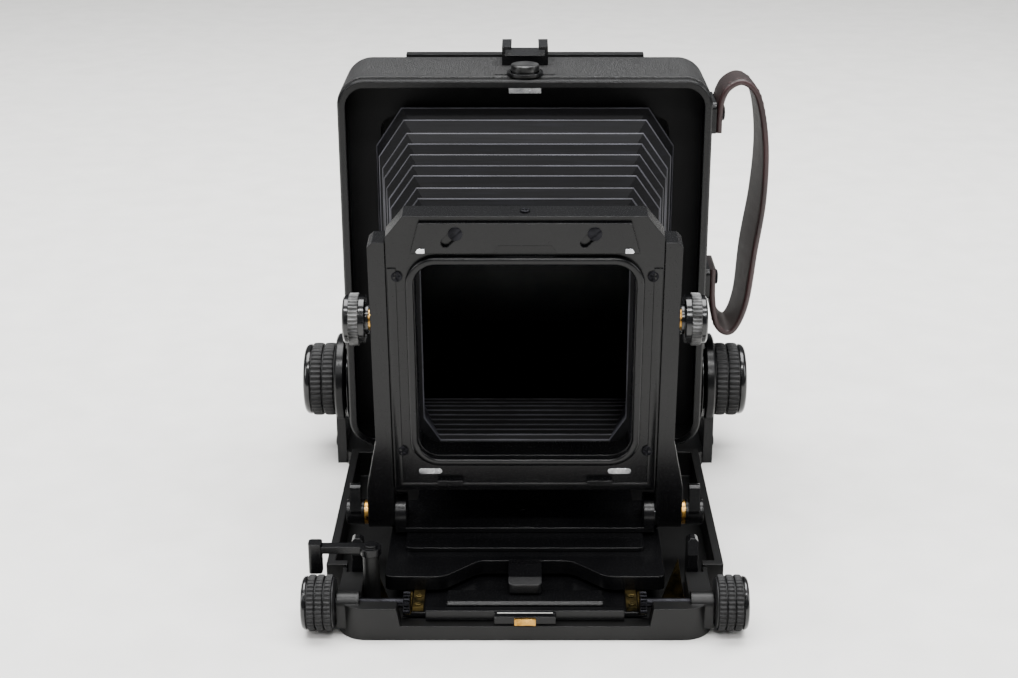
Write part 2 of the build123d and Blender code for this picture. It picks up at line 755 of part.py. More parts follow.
SHOE_W = 21.2
SHOE_Y = 13.6
SHOE_L = 18.0
with BuildPart() as accessory_shoe:
    with BuildSketch(front(SHOE_Y + SHOE_L / 2, 0, DECK_Z)):
        with BuildLine():
            Polyline(
                (-SHOE_W / 2, 0),
                (SHOE_W / 2, 0),
                (SHOE_W / 2, 8.6),
                (SHOE_W / 2 - 4.4, 8.6),
                (SHOE_W / 2 - 4.4, 7.2),
                (SHOE_W / 2 - 1.4, 7.2),
                (SHOE_W / 2 - 1.4, 4.6),
                (-SHOE_W / 2 + 1.4, 4.6),
                (-SHOE_W / 2 + 1.4, 7.2),
                (-SHOE_W / 2 + 4.4, 7.2),
                (-SHOE_W / 2 + 4.4, 8.6),
                (-SHOE_W / 2, 8.6),
                close=True,
            )
        make_face()
    extrude(amount=SHOE_L)
save(accessory_shoe, "accessory_shoe")

with BuildPart() as button_collar:
    with BuildSketch(Plane.XY.offset(DECK_Z)):
        with Locations((0, BUTTON_Y)):
            Circle(BUTTON_R + 1.8)
            Circle(BUTTON_R + SHAFT_GAP, mode=Mode.SUBTRACT)
    extrude(amount=1.6)
save(button_collar, "button_collar")

with BuildPart() as release_button:
    with BuildSketch(Plane.XY.offset(DECK_Z + BUTTON_TRAVEL + 0.2)):
        with Locations((0, BUTTON_Y)):
            Circle(BUTTON_R)
    extrude(amount=2.8)
    fillet(release_button.faces().sort_by(Axis.Z)[-1].edges(), 0.9)
    with BuildSketch(Plane.XY.offset(DECK_Z + 0.2)):
        with Locations((0, BUTTON_Y)):
            Circle(BUTTON_FOOT_R)
    extrude(amount=BUTTON_TRAVEL)
save(release_button, "release_button")

LATCH_Y = -19.0
LATCH_Z = BOX_TOP - BOX_WALL - FACE_GAP
with BuildPart() as bed_latch:
    with BuildSketch(front(LATCH_Y, 0, LATCH_Z)):
        with BuildLine():
            Polyline((-7.2, -4.6), (7.2, -4.6), (7.2, -1.6), (4.6, 0), (-4.6, 0), (-7.2, -1.6), close=True)
        make_face()
    extrude(amount=-6)
save(bed_latch, "bed_latch")

STRAP_X = BOX_W / 2 + LEATHER_T
STRAP_TOP = 170.0
STRAP_LOW = 90.0
STRAP_T = 2.8
STRAP_W = 22.0
with BuildPart() as strap_bar:
    for z in (STRAP_LOW, STRAP_TOP):
        with BuildSketch(side(STRAP_X, 0, z)):
            RectangleRounded(26, 15, 3)
        extrude(amount=2.6)
save(strap_bar, "strap_bar")

with BuildPart() as strap_screws:
    for z in (STRAP_LOW, STRAP_TOP):
        with BuildSketch(side(STRAP_X + 2.6 + STRAP_T + 0.5, 0, z)):
            Circle(3.6)
        extrude(amount=1.8)
    heads = strap_screws.faces().filter_by(Axis.X).group_by(Axis.X)[-1]
    fillet(heads.edges(), 0.9)
save(strap_screws, "strap_screws")

STRAP_IN = STRAP_X + 2.6 + STRAP_T / 2 + 0.1
STRAP_PATH = [
    (STRAP_IN, STRAP_TOP - 7),
    (STRAP_IN, STRAP_TOP),
    (STRAP_IN + 0.9, STRAP_TOP + 8),
    (STRAP_IN + 4.6, STRAP_TOP + 14),
    (STRAP_IN + 12, STRAP_TOP + 16.5),
    (STRAP_IN + 18.5, STRAP_TOP + 6),
    (STRAP_IN + 20.5, STRAP_TOP - 25),
    (STRAP_IN + 18, STRAP_LOW + 25),
    (STRAP_IN + 14.5, STRAP_LOW - 12),
    (STRAP_IN + 9, STRAP_LOW - 23),
    (STRAP_IN + 3.4, STRAP_LOW - 19),
    (STRAP_IN + 0.7, STRAP_LOW - 9),
    (STRAP_IN, STRAP_LOW),
    (STRAP_IN, STRAP_LOW + 7),
]


def strap_edge(offset_by):
    """Points of the strap's path moved sideways by offset_by, square to the path."""
    moved = []
    for i, (x, z) in enumerate(STRAP_PATH):
        before = STRAP_PATH[max(i - 1, 0)]
        after = STRAP_PATH[min(i + 1, len(STRAP_PATH) - 1)]
        if i in (1, len(STRAP_PATH) - 2):
            before, after = (x, z), (x, z + 1)
        dx, dz = after[0] - before[0], after[1] - before[1]
        length = math.hypot(dx, dz)
        moved.append((x - dz / length * offset_by, z + dx / length * offset_by))
    return moved


with BuildPart() as strap:
    with BuildSketch(front(STRAP_W / 2)):
        with BuildLine():
            inner = strap_edge(STRAP_T / 2)
            outer = strap_edge(-STRAP_T / 2)
            Spline(*inner)
            Spline(*outer)
            Line(inner[0], outer[0])
            Line(inner[-1], outer[-1])
        make_face()
    extrude(amount=STRAP_W)
save(strap, "strap")

KNOB_X = ARM_X + ARM_T + SLIDE_GAP
with BuildPart() as tilt_studs:
    for sx in (-1, 1):
        with BuildSketch(side(sx * BOX_W / 2, 0, TILT_AXIS_Z)):
            Circle(STUD_R)
        extrude(amount=sx * (KNOB_X + KNOB_L - 4 - BOX_W / 2))
        with BuildSketch(side(sx * BOX_W / 2, 0, TILT_AXIS_Z)):
            Circle(12)
        extrude(amount=sx * (ARM_GAP - SLIDE_GAP))
save(tilt_studs, "tilt_studs")


def tilt_knob(sx):
    """Large clamping knob of the rear tilt."""
    with BuildPart() as knob:
        with BuildSketch(side(sx * KNOB_X, 0, TILT_AXIS_Z)):
            Circle(KNOB_R)
        extrude(amount=sx * KNOB_L)
        chamfer(knob.edges().filter_by(GeomType.CIRCLE), 1.2)
        with BuildSketch(side(sx * KNOB_X, 0, TILT_AXIS_Z)):
            Circle(STUD_R + SHAFT_GAP)
        extrude(amount=sx * (KNOB_L - 4 + SLIDE_GAP), mode=Mode.SUBTRACT)
    return knob


tilt_knob_left = tilt_knob(-1)
save(tilt_knob_left, "tilt_knob_left")
tilt_knob_right = tilt_knob(1)
save(tilt_knob_right, "tilt_knob_right")

# =====================================================================
# Back
# =====================================================================
with BuildPart() as back_plate:
    with BuildSketch(front(BACK_Y + BACK_T, 0, BOX_MID_Z)):
        RectangleRounded(150, 160, 5)
        with Locations((0, 83)):
            Rectangle(112, 15)
        RectangleRounded(GLASS_W - 2, GLASS_H - 2, 2, mode=Mode.SUBTRACT)
    extrude(amount=BACK_T)
save(back_plate, "back_plate")

GLASS_Y = BACK_Y + BACK_T + FACE_GAP
GLASS_T = 2.0
GLASS_FRAME_T = 6.5
with BuildPart() as glass_frame:
    with BuildSketch(front(GLASS_Y + GLASS_FRAME_T, 0, BOX_MID_Z)):
        RectangleRounded(GLASS_W + 14, GLASS_H + 18, 4)
        Rectangle(GLASS_W - 6, GLASS_H - 6, mode=Mode.SUBTRACT)
    extrude(amount=GLASS_FRAME_T)
    with BuildSketch(front(GLASS_Y + 0.4 + GLASS_T, 0, BOX_MID_Z)):
        Rectangle(GLASS_W, GLASS_H)
    extrude(amount=GLASS_T + 1, mode=Mode.SUBTRACT)
save(glass_frame, "glass_frame")

with BuildPart() as ground_glass:
    with BuildSketch(front(GLASS_Y + 0.4 + GLASS_T, 0, BOX_MID_Z)):
        Rectangle(GLASS_W - 0.2, GLASS_H - 0.2)
    extrude(amount=GLASS_T)
save(ground_glass, "ground_glass")

with BuildPart() as spring_arms:
    for sx in (-1, 1):
        with BuildSketch(front(BACK_Y + BACK_T + 1.2, sx * 70.2, BOX_MID_Z)):
            SlotOverall(84, 5, rotation=90)
        extrude(amount=1.2)
save(spring_arms, "spring_arms")

HOOD_Y = GLASS_Y + GLASS_FRAME_T
HOOD_T = 3.0
HOOD_TOP = BOX_MID_Z + GLASS_H / 2 + 8
with BuildPart() as hood_lid:
    with BuildSketch(front(HOOD_Y + SLIDE_GAP + HOOD_T, 0, BOX_MID_Z)):
        RectangleRounded(GLASS_W + 6, GLASS_H + 8, 4)
    extrude(amount=HOOD_T)
    with BuildSketch(side(-40, HOOD_Y + SLIDE_GAP + HOOD_T / 2, HOOD_TOP - 2)):
        Circle(HOOD_T / 2)
        with Locations((0, -2)):
            Rectangle(HOOD_T, 4)
    extrude(amount=80)
save(hood_lid, "hood_lid")

# =====================================================================
# Focusing drive
# =====================================================================


def gear_outline():
    """Points of the pinion's teeth, straight-flanked, with one tooth pointing straight down."""
    points = []
    flanks = ((PINION_R - ROOT_DEPTH, -1), (PINION_R + TIP_DEPTH, -1), (PINION_R + TIP_DEPTH, 1), (PINION_R - ROOT_DEPTH, 1))
    for i in range(PINION_TEETH):
        turn = 2 * math.pi * i / PINION_TEETH - math.pi / 2
        for radius, flank in flanks:
            half = TOOTH_HALF - (radius - PINION_R) * SLOPE
            angle = turn + flank * math.asin(half / radius)
            points.append((radius * math.cos(angle), radius * math.sin(angle)))
    return points


def pinion(sx):
    """Pinion and its shaft: teeth start halfway between two rack teeth."""
    with BuildPart() as gear:
        with BuildSketch(side(sx * (RACK_X + 0.2), FOCUS_AXIS_Y, FOCUS_AXIS_Z)):
            with BuildLine():
                Polyline(*gear_outline(), close=True)
            make_face()
        extrude(amount=sx * (RACK_W - 0.4))
        with BuildSketch(side(sx * (RACK_X + RACK_W - 0.3), FOCUS_AXIS_Y, FOCUS_AXIS_Z)):
            Circle(PIN_R)
        extrude(amount=sx * (BED_NOSE_W / 2 + 8 - RACK_X - RACK_W))
    return gear


pinion_left = pinion(-1)
save(pinion_left, "pinion_left")
pinion_right = pinion(1)
save(pinion_right, "pinion_right")


def focus_knob(sx):
    """Ribbed focusing knob on the pinion shaft."""
    start = BED_NOSE_W / 2 + 0.6
    with BuildPart() as knob:
        with BuildSketch(side(sx * start, FOCUS_AXIS_Y, FOCUS_AXIS_Z)):
            Circle(FOCUS_KNOB_R)
        extrude(amount=sx * FOCUS_KNOB_L)
        chamfer(knob.edges().filter_by(GeomType.CIRCLE), 1)
        with BuildSketch(side(sx * start, FOCUS_AXIS_Y, FOCUS_AXIS_Z)):
            Circle(PIN_R)
        extrude(amount=sx * 7.1, mode=Mode.SUBTRACT)
    return knob


focus_knob_left = focus_knob(-1)
save(focus_knob_left, "focus_knob_left")
focus_knob_right = focus_knob(1)
save(focus_knob_right, "focus_knob_right")
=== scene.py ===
import math

import bpy
import numpy as np
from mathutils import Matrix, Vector


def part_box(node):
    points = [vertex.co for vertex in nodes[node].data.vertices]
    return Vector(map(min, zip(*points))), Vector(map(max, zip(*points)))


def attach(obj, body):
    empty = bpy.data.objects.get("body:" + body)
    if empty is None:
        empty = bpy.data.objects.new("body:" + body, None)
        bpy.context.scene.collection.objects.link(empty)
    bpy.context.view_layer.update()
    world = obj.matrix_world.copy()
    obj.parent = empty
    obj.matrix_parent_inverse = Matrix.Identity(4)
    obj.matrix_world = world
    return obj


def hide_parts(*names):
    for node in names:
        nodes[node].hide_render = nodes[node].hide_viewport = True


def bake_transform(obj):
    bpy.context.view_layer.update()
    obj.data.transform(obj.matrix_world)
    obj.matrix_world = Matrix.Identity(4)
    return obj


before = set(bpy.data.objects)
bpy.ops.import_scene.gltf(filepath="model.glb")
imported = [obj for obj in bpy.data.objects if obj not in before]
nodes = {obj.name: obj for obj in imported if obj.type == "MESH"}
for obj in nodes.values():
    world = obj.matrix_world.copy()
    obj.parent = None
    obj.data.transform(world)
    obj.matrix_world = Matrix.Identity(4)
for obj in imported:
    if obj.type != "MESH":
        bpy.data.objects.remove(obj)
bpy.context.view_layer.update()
MM = 0.001
SIDES = ((-1, "left"), (1, "right"))

# ---------------------------------------------------------------- camera
SENSOR_MM = 36.0
LENS_MM = 59.764
SHIFT = -0.01572  # sideways shift of the lens, as a share of the sensor's width
PITCH = math.radians(21.06)  # how far the eye looks down
EYE = (0.0, -0.7665, 0.353)


def camera():
    """Eye in front of the camera body and above it, looking down on the bed."""
    data = bpy.data.cameras.new("eye")
    data.sensor_width = SENSOR_MM
    data.lens = LENS_MM
    data.shift_x = SHIFT
    data.clip_start = 0.01
    eye = bpy.data.objects.new("eye", data)
    eye.location = EYE
    eye.rotation_euler = (math.pi / 2 - PITCH, 0, 0)
    bpy.context.scene.collection.objects.link(eye)
    bpy.context.scene.camera = eye


def srgb(hex_colour):
    """sRGB hex to linear RGBA."""
    value = np.array([int(hex_colour[i : i + 2], 16) for i in (1, 3, 5)]) / 255
    linear = np.where(value <= 0.04045, value / 12.92, ((value + 0.055) / 1.055) ** 2.4)
    return (*linear.tolist(), 1.0)


def area_light(name, place, aim, size, power, colour="#ffffff"):
    """Soft rectangular studio light pointing at aim."""
    data = bpy.data.lights.new(name, "AREA")
    data.shape = "RECTANGLE"
    data.size, data.size_y = size
    data.energy = power
    data.color = srgb(colour)[:3]
    light = bpy.data.objects.new(name, data)
    light.location = place
    light.rotation_euler = (Vector(aim) - Vector(place)).to_track_quat("-Z", "Y").to_euler()
    bpy.context.scene.collection.objects.link(light)


# ---------------------------------------------------------------- material helpers
def add(tree, kind, links=(), **settings):
    """One node with its settings; links are (socket of this node, source socket)."""
    made = tree.nodes.new(kind)
    for key, value in settings.items():
        if key.startswith("in_"):
            made.inputs[key[3:].replace("_", " ")].default_value = value
        else:
            setattr(made, key, value)
    for socket, source in links:
        tree.links.new(source, made.inputs[socket])
    return made


def ramp(tree, source, stops):
    """Colour ramp over the given (place, hex) stops."""
    made = add(tree, "ShaderNodeValToRGB", [("Fac", source)])
    while len(made.color_ramp.elements) < len(stops):
        made.color_ramp.elements.new(0.5)
    for element, (place, colour) in zip(made.color_ramp.elements, stops):
        element.position = place
        element.color = srgb(colour)
    return made.outputs["Color"]


def material(name, metallic=0.0, **sockets):
    """Empty principled material; sockets are constants set on the shader itself."""
    made = bpy.data.materials.new(name)
    made.use_nodes = True
    tree = made.node_tree
    shader = tree.nodes["Principled BSDF"]
    shader.inputs["Metallic"].default_value = metallic
    for key, value in sockets.items():
        shader.inputs[key.replace("_", " ")].default_value = value
    return made, tree, shader


def per(size_mm):
    """Scale of a texture whose features are this many millimetres apart."""
    return 1 / (size_mm * MM)


def object_place(tree, scale=(1, 1, 1)):
    """Object coordinates, stretched by scale."""
    where = add(tree, "ShaderNodeTexCoord")
    return add(tree, "ShaderNodeMapping", [("Vector", where.outputs["Object"])], in_Scale=scale).outputs[0]


def noise(tree, place, scale, detail):
    return add(tree, "ShaderNodeTexNoise", [("Vector", place)], in_Scale=scale, in_Detail=detail)


def drifting_colour(tree, shader, place, size_mm, detail, stops):
    """Base colour that wanders over the stops, in patches of this size."""
    drift = noise(tree, place, per(size_mm), detail)
    tree.links.new(ramp(tree, drift.outputs[0], stops), shader.inputs["Base Color"])


def varied_roughness(tree, shader, source, low, high):
    """Roughness between low and high, following the source pattern."""
    spread = add(tree, "ShaderNodeMapRange", [("Value", source)], in_To_Min=low, in_To_Max=high)
    tree.links.new(spread.outputs[0], shader.inputs["Roughness"])


def relief(tree, shader, source, height_mm, strength, edge_mm=None):
    """Height that follows the source pattern; edges read as broken by a small radius where one is given."""
    links = [("Height", source)]
    if edge_mm:
        edges = add(tree, "ShaderNodeBevel", samples=4, in_Radius=edge_mm * MM)
        links.append(("Normal", edges.outputs[0]))
    bump = add(tree, "ShaderNodeBump", links, in_Strength=strength, in_Distance=height_mm * MM)
    tree.links.new(bump.outputs[0], shader.inputs["Normal"])


# spacing of the patterns that finishes share, in millimetres
PAINT_DRIFT = 26.3
TARNISH = 4.55
BRUSHING = 1.11
PEBBLE_WARP = 3.33
LEATHER_DRIFT = 18.2
RUBBED_PATCHES = 33.3
THREADS = (16.7, 1.11, 1.11)


def coated(name, dark, light, grain_mm, rough, bump_mm, edge_mm=0.35, **sockets):
    """Paint or plastic with a fine grain: colour drifts slowly, roughness and height follow the grain."""
    made, tree, shader = material(name, **sockets)
    place = object_place(tree)
    drifting_colour(tree, shader, place, PAINT_DRIFT, 4.0, [(0.32, dark), (0.7, light)])
    grain = noise(tree, place, per(grain_mm), 2.0).outputs[0]
    varied_roughness(tree, shader, grain, rough - 0.07, rough + 0.09)
    relief(tree, shader, grain, bump_mm, 0.55, edge_mm)
    return made


def plated(name, dark, light, rough, edge_mm=0.2, **sockets):
    """Bare or plated metal: fine brushing changes the roughness, tarnish drifts slowly over it."""
    made, tree, shader = material(name, metallic=1.0, **sockets)
    place = object_place(tree)
    drifting_colour(tree, shader, place, TARNISH, 5.0, [(0.35, dark), (0.68, light)])
    brushed = noise(tree, place, per(BRUSHING), 2.0).outputs[0]
    varied_roughness(tree, shader, brushed, rough - 0.08, rough + 0.14)
    relief(tree, shader, brushed, 0.02, 0.25, edge_mm)
    return made


def leather_grain(name, dark, light, pebble_mm, rough, bump_mm, **sockets):
    """Pebbled hide or its imitation: rounded cells, their colour darkened in the creases between them as
    painted shade.
    """
    made, tree, shader = material(name, Roughness=rough, **sockets)
    place = object_place(tree)
    warp = noise(tree, place, per(PEBBLE_WARP), 2.0)
    shifted = add(tree, "ShaderNodeVectorMath", [(0, warp.outputs["Color"])], operation="SCALE")
    shifted.inputs["Scale"].default_value = 0.5 * pebble_mm * MM
    placed = add(tree, "ShaderNodeVectorMath", [(0, place), (1, shifted.outputs[0])], operation="ADD")
    cells = add(tree, "ShaderNodeTexVoronoi", [("Vector", placed.outputs[0])], feature="DISTANCE_TO_EDGE",
                in_Scale=per(pebble_mm))
    drift = noise(tree, place, per(LEATHER_DRIFT), 4.0)
    # painted shade: the colour darkens from the cell middles into the creases at their edges
    crease_shade = ramp(tree, cells.outputs["Distance"], [(0.0, dark), (0.16, light)])
    tone = ramp(tree, drift.outputs[0], [(0.3, dark), (0.72, light)])
    mixed = add(tree, "ShaderNodeMix", [(6, crease_shade), (7, tone)], data_type="RGBA", in_Factor=0.5)
    tree.links.new(mixed.outputs[2], shader.inputs["Base Color"])
    dome = add(tree, "ShaderNodeMapRange", [("Value", cells.outputs["Distance"])], in_From_Max=0.35)
    relief(tree, shader, dome.outputs[0], bump_mm, 0.8, 0.3)
    return made


def pleated_cloth(name):
    """Rubberised bellows cloth: nearly black, faint threads across it and worn, dusty patches."""
    made, tree, shader = material(name, Specular_IOR_Level=0.15, Roughness=0.62)
    weave = noise(tree, object_place(tree, tuple(per(size) for size in THREADS)), 1.0, 3.0).outputs[0]
    drift = noise(tree, object_place(tree), per(RUBBED_PATCHES), 6.0)
    drift.inputs["Roughness"].default_value = 0.65
    both = add(tree, "ShaderNodeMix", [(2, weave), (3, drift.outputs[0])], in_Factor=0.45)
    tones = ramp(tree, both.outputs[0], [(0.36, "#030304"), (0.55, "#07070a"), (0.76, "#111117")])
    tree.links.new(tones, shader.inputs["Base Color"])
    relief(tree, shader, weave, 0.08, 0.5)
    return made


# Stoved black enamel on a machined casting: a soft even gloss with barely any grain.
enamel = coated("stoved_black_enamel", "#050506", "#0a0a0b", 0.35, 0.24, 0.02, edge_mm=0.6,
                Specular_IOR_Level=0.25)
# Textured black enamel on a rough casting: matt, with a fine orange-peel grain.
texture_enamel = coated("textured_black_enamel", "#060606", "#0c0c0c", 0.5, 0.38, 0.05, edge_mm=0.7,
                        Specular_IOR_Level=0.25)
# Polished black plate: the smooth flanges of the knobs and hubs.
polished = coated("polished_black_plate", "#060607", "#0b0b0c", 0.4, 0.16, 0.005, edge_mm=0.3)
# Flat black paint inside the camera, which should reflect nothing.
inside_black = coated("matt_black_interior_paint", "#040405", "#080809", 0.4, 0.6, 0.03,
                      Specular_IOR_Level=0.2)
# Leather cloth glued on the box: small pebbles, slightly dusty.
leathercloth = leather_grain("pebbled_leathercloth", "#060606", "#141414", 1.0, 0.45, 0.3,
                             Specular_IOR_Level=0.35)
# Moulded rubber of the knob grips: deep matt black that shows dust on its ribs.
rubber = coated("moulded_black_rubber", "#080809", "#131314", 0.5, 0.48, 0.04, edge_mm=0.25,
                Specular_IOR_Level=0.3)
# Grey anodised knurled aluminium: dull silver edges over darker valleys.
anodised = plated("grey_anodised_aluminium", "#2a2a2a", "#5e5e5e", 0.4)
# Bright nickel plate: small hard highlights.
nickel = plated("bright_nickel_plate", "#a9aaae", "#dcdddf", 0.2)
# Chemically blackened steel of the screws.
blacked = plated("blackened_steel", "#161618", "#242427", 0.34)
# Fresh turned brass of the washers and the stop.
brass = plated("turned_brass", "#8c6428", "#d8a95a", 0.26)
# Old brass of the strips and gussets, dulled to olive.
old_brass = plated("tarnished_brass", "#1d1a10", "#594c2b", 0.45)
# Strap leather, vegetable tanned and dyed dark brown: smooth, faintly creased.
strap_leather = leather_grain("dyed_brown_strap_leather", "#100b0b", "#251a19", 1.3, 0.45, 0.1,
                              Specular_IOR_Level=0.35)
# Strap lining: napped grey-brown side of the hide.
strap_lining = leather_grain("napped_strap_lining", "#1b1716", "#3a3331", 0.8, 0.7, 0.08)
# Cut strap edge, dyed dark red and burnished.
strap_edge = coated("burnished_red_leather_edge", "#160b0b", "#32191a", 0.6, 0.42, 0.04)
# Waxed stitching thread.
stitch_thread = coated("waxed_brown_thread", "#1d1211", "#40292a", 0.2, 0.6, 0.02)
# Engraved lines filled with white enamel.
white_fill = coated("white_engraving_enamel", "#c9c9c5", "#e4e4e0", 0.3, 0.4, 0.01)
# Rubberised bellows cloth.
bellows_cloth = pleated_cloth("rubberised_bellows_cloth")
# The same cloth on the ridges, lighter grey: partly real rubbing wear with the threads showing through,
# partly a painted highlight along the folds.
worn_highlit_ridge_cloth = coated("bellows_ridge_wear_and_painted_highlight", "#1a1a1f", "#45454d", 0.6, 0.6, 0.05)
# Etched glass: passes light, shows no clear image; its colour is darkened as painted shade, standing in for
# the hood's shadow over it.
etched = coated("etched_ground_glass", "#3a4046", "#555c62", 0.25, 0.42, 0.02,
                Transmission_Weight=0.9, IOR=1.52)


# ---------------------------------------------------------------- mesh helpers
def solid(name, points, faces, body, finish, stands_for=(), sharp=35, second=None,
          in_second=None):
    """Mesh object from points and faces, its edges above the sharp angle kept crisp, riding on a body.

    in_second holds a truth value for each face that takes the second finish.
    """
    mesh = bpy.data.meshes.new(name)
    mesh.from_pydata([tuple(p) for p in points.tolist()], [], faces)
    mesh.materials.append(finish)
    if second:
        mesh.materials.append(second)
        mesh.polygons.foreach_set("material_index", np.asarray(in_second, np.int32))
    mesh.shade_smooth()
    mesh.set_sharp_from_angle(angle=math.radians(sharp))
    piece = bpy.data.objects.new(name, mesh)
    bpy.context.scene.collection.objects.link(piece)
    if stands_for:
        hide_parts(*stands_for)
    if body:
        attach(piece, body)
    return piece


def lattice(rows, columns, wrap_rows=False, wrap_columns=True):
    """Quads of a grid of rows by columns, closed round either way."""
    r = np.arange(rows if wrap_rows else rows - 1)
    c = np.arange(columns if wrap_columns else columns - 1)
    r, c = (a.ravel() for a in np.meshgrid(r, c, indexing="ij"))
    r1, c1 = (r + 1) % rows, (c + 1) % columns
    return np.stack([r * columns + c, r * columns + c1, r1 * columns + c1, r1 * columns + c], 1).tolist()


def capped(grid):
    """Points and faces of a grid wrapped round its columns, its first and last rows closed by flat faces."""
    rows, columns = grid.shape[:2]
    faces = lattice(rows, columns)
    faces.append(list(range(columns))[::-1])
    faces.append(list(range((rows - 1) * columns, rows * columns)))
    return grid.reshape(-1, 3), faces


def node_box(node):
    """Low and high corner of a node's box."""
    return tuple(np.array(corner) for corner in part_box(node))


def frame_of(axis):
    """Two unit vectors square to axis and to each other."""
    axis = np.array(axis, float)
    helper = np.array([0, 0, 1.0]) if abs(axis[2]) < 0.9 else np.array([1.0, 0, 0])
    a = np.cross(helper, axis)
    a /= np.linalg.norm(a)
    return a, np.cross(axis, a)


def turned(centre, axis, profile, around, ribs=None):
    """Surface of revolution: centre + axis * height(u) + (radius(u) + rib(u, v)) * (cos v, sin v)."""
    axis = np.array(axis, float) / np.linalg.norm(axis)
    a, b = frame_of(axis)
    height, radius = np.array(profile, float).T
    v = np.arange(around) * 2 * math.pi / around
    r = radius[:, None] * np.ones(around)
    if ribs is not None:
        r = r + ribs(np.arange(len(height))[:, None], v[None, :])
    ring = np.cos(v)[None, :, None] * a + np.sin(v)[None, :, None] * b
    return np.array(centre) + height[:, None, None] * axis + r[..., None] * ring


def merged(parts):
    """Several (points, faces) as one."""
    points, faces, start = [], [], 0
    for p, f in parts:
        points.append(p)
        faces += [[i + start for i in face] for face in f]
        start += len(p)
    return np.concatenate(points), faces


# ---------------------------------------------------------------- the leaning front standard
LEAN = math.radians(5.8)
UP = np.array([0, -math.sin(LEAN), math.cos(LEAN)])
OUT = np.array([0, -math.cos(LEAN), -math.sin(LEAN)])
PIVOT = np.array([0, -0.118, 0.024])
FRAME_FACE = 5.5  # front of the lens frame from the standard's middle plane; its back is as far behind


def on_standard(x, h, n):
    """Pivot + x across + h up the leaning standard + n towards the subject, all in millimetres."""
    x, h, n = np.broadcast_arrays(x, h, n)
    return PIVOT + (x[..., None] * np.array([1.0, 0, 0]) + h[..., None] * UP + n[..., None] * OUT) * MM


# ---------------------------------------------------------------- bellows
PLEAT_DEPTH = 8.0
SKIN = 0.7
PLEAT_ROWS = np.array([0, 0.04, 0.24, 0.46, 0.475, 0.5, 0.525, 0.54, 0.76, 0.96])  # shares of one pleat
GLUED_DEPTH = 0.3  # share of the pleat's depth left where it is glued to a frame
WEAR_AND_HIGHLIGHT_RIDGE, WEAR_AND_HIGHLIGHT_VALLEY = 0.06, 0.9  # the cloth is rubbed and carries a painted highlight below and above these depths of fold
UNEVEN = 0.06  # how much shallower some pleats stand than others
BOX_END = (69, 77, 12, 18)  # half width, half height, corner cut across and up, in millimetres
LENS_END = (49.5, 54, 9, 13)
BOX_END_Y, BOX_END_Z = -0.008, 0.1
LENS_END_H = 75.5  # middle of the lens end, up the standard
# pleats given to each joint, from the box to the lens frame
SPANS = [
    ("rear_box", "bed", 3),
    ("bed", "focus_rail", 3),
    ("focus_rail", "shift_plate", 1),
    ("shift_plate", "swing_yoke", 1),
    ("swing_yoke", "uprights", 2),
    ("uprights", "lens_frame", 1),
]
PLEATS = sum(pleats for _, _, pleats in SPANS)
SHARES = np.concatenate([[0], np.cumsum([pleats for _, _, pleats in SPANS])]) / PLEATS
NEAR_PLANE = float(np.array([0, BOX_END_Y, BOX_END_Z]) @ OUT)
FAR_PLANE = float(on_standard(0, LENS_END_H, -FRAME_FACE) @ OUT)
PLANES = NEAR_PLANE + (FAR_PLANE - NEAR_PLANE) * SHARES


def cut_corner_outline(half_w, half_h, cut, rise, inset, across=10):
    """Closed outline of a rectangle with its corners cut, moved in by inset.

    Each of the eight edges runs corner * (1 - share) + next corner * share, at even shares.
    """
    w, h = half_w - inset, half_h - inset
    cut, rise = cut - 0.3 * inset, rise - 0.3 * inset
    right = [(w, -h + rise), (w, h - rise), (w - cut, h)]
    left = [(-w + cut, h), (-w, h - rise), (-w, -h + rise)]
    corners = np.array(right + left + [(-w + cut, -h), (w - cut, -h)])
    share = np.arange(across)[None, :, None] / across
    after = np.roll(corners, -1, axis=0)
    return (corners[:, None] * (1 - share) + after[:, None] * share).reshape(-1, 2)


def bellows_ring(travel, inset):
    """Ring of the bellows at travel 0 (box) to 1 (lens frame), inset from the ridges.

    Each point is start * (1 - share) + end * share, along the straight line from the box's outline to the
    frame's. The share is where that line meets a plane parallel to the standard; over the first length the
    plane's distance runs on from each point's own start, so that the first ring lies flat on the box.
    """
    back = cut_corner_outline(*BOX_END, inset)
    fore = cut_corner_outline(*LENS_END, inset)
    start = np.stack([back[:, 0] * MM, np.full(len(back), BOX_END_Y), BOX_END_Z + back[:, 1] * MM], 1)
    end = on_standard(fore[:, 0], LENS_END_H + fore[:, 1], -FRAME_FACE)
    near, far = start @ OUT, (end @ OUT)[0]
    level = np.where(
        travel < SHARES[1],
        near + (PLANES[1] - near) * travel / SHARES[1],
        PLANES[1] + (far - PLANES[1]) * (travel - SHARES[1]) / (1 - SHARES[1]),
    )
    share = (level - near) / (far - near)
    return start * (1 - share[:, None]) + end * share[:, None]


def pleat_folds(travel, count):
    """Depth of the folds from 0 on the ridges to 1 in the valleys, before and after the uneven sag.

    The fold is a triangle wave of the pleat count; the sag pulls it up by a slow squared sine of the travel.
    """
    fold = np.abs(2 * (count % 1.0) - 1)
    from_end = np.minimum(travel, 1 - travel) * PLEATS
    fold = np.where(from_end < 0.5, np.minimum(fold, GLUED_DEPTH), fold)
    sag = 1 - UNEVEN * np.sin(travel * 90) ** 2 * (from_end > 0.6)
    return fold, 1 - (1 - fold) * sag


